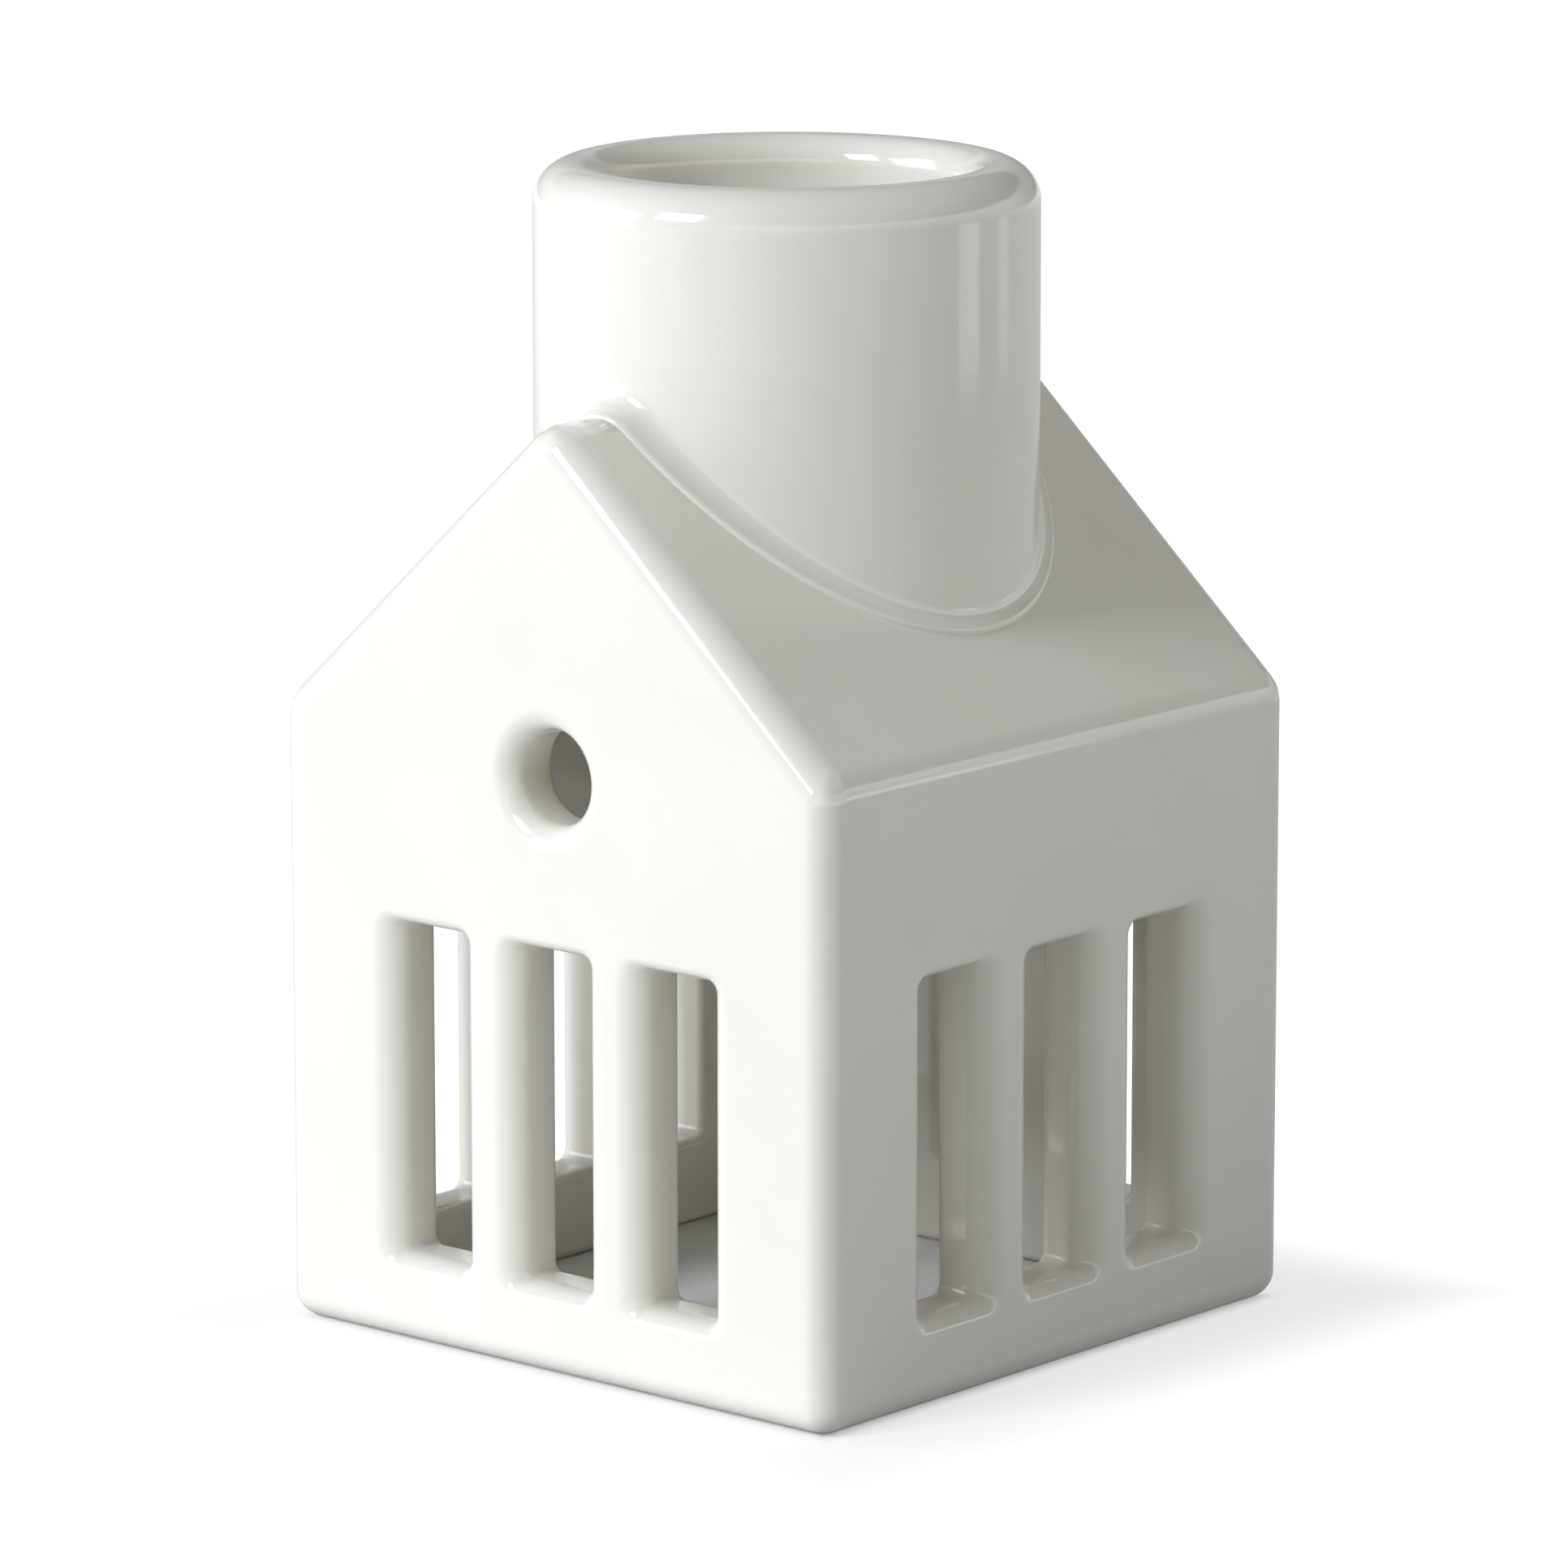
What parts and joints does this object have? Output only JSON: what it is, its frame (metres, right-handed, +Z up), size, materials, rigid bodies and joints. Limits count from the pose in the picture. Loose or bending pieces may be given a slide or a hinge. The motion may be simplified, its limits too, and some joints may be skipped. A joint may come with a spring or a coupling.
{
  "type": "candle holder",
  "caption": "Glazed ceramic house-shaped candle holder: a gabled shell with slotted walls, open below, and a round candle socket as its chimney.",
  "frame": {"origin": "middle of the base, on the surface it stands on", "axes": "+Z up along the candle, the front gable faces -Y and the ridge runs along Y"},
  "size_m": [0.0472, 0.0472, 0.0767],
  "materials": {
    "shell_glaze": "gloss",
    "socket_glaze": "gloss"
  },
  "bodies": {
    "root": {"house_shell": "shell_glaze", "candle_socket": "socket_glaze"}
  },
  "joints": []
}
